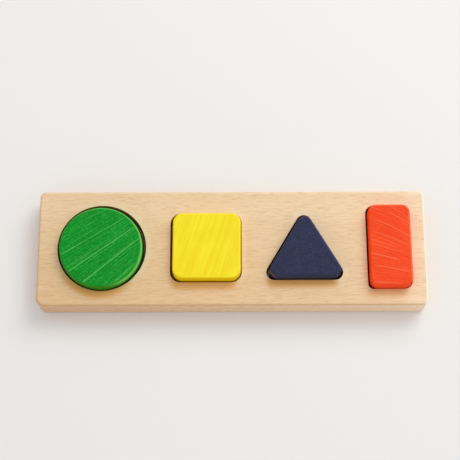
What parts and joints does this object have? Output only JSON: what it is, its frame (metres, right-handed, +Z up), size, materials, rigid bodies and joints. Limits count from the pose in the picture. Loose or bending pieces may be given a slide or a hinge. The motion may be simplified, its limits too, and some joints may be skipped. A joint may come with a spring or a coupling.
{
  "type": "baby shape puzzle",
  "caption": "Flat wooden tray with a row of pockets, each holding a loose stained block of its own shape that lifts straight out.",
  "frame": {"origin": "middle of the tray's underside, on the surface it stands on", "axes": "+X along the tray from the disc towards the rectangle, +Y towards the triangle's rear tip, +Z up"},
  "size_m": [0.3, 0.0922, 0.03],
  "materials": {
    "beech": "fine sanded beech with short darker flecks, oiled matt",
    "green_stain": "green stained wood, satin, faint saw marks",
    "yellow_stain": "yellow stained wood, satin, soft slanted streaks",
    "navy_stain": "dark navy blue stained wood, satin",
    "red_stain": "orange red stained wood, satin, curved saw marks"
  },
  "bodies": {
    "tray": {"tray": "beech"},
    "disc": {"green_disc": "green_stain"},
    "square": {"yellow_square": "yellow_stain"},
    "triangle": {"blue_triangle": "navy_stain"},
    "rectangle": {"red_rectangle": "red_stain"}
  },
  "joints": [
    {"name": "disc_lift", "type": "slide", "parent": "tray", "child": "disc", "axis": [0, 0, 1], "range_m": [0, 0.06]},
    {"name": "square_lift", "type": "slide", "parent": "tray", "child": "square", "axis": [0, 0, 1], "range_m": [0, 0.06]},
    {"name": "triangle_lift", "type": "slide", "parent": "tray", "child": "triangle", "axis": [0, 0, 1], "range_m": [0, 0.06]},
    {"name": "rectangle_lift", "type": "slide", "parent": "tray", "child": "rectangle", "axis": [0, 0, 1], "range_m": [0, 0.06]}
  ]
}
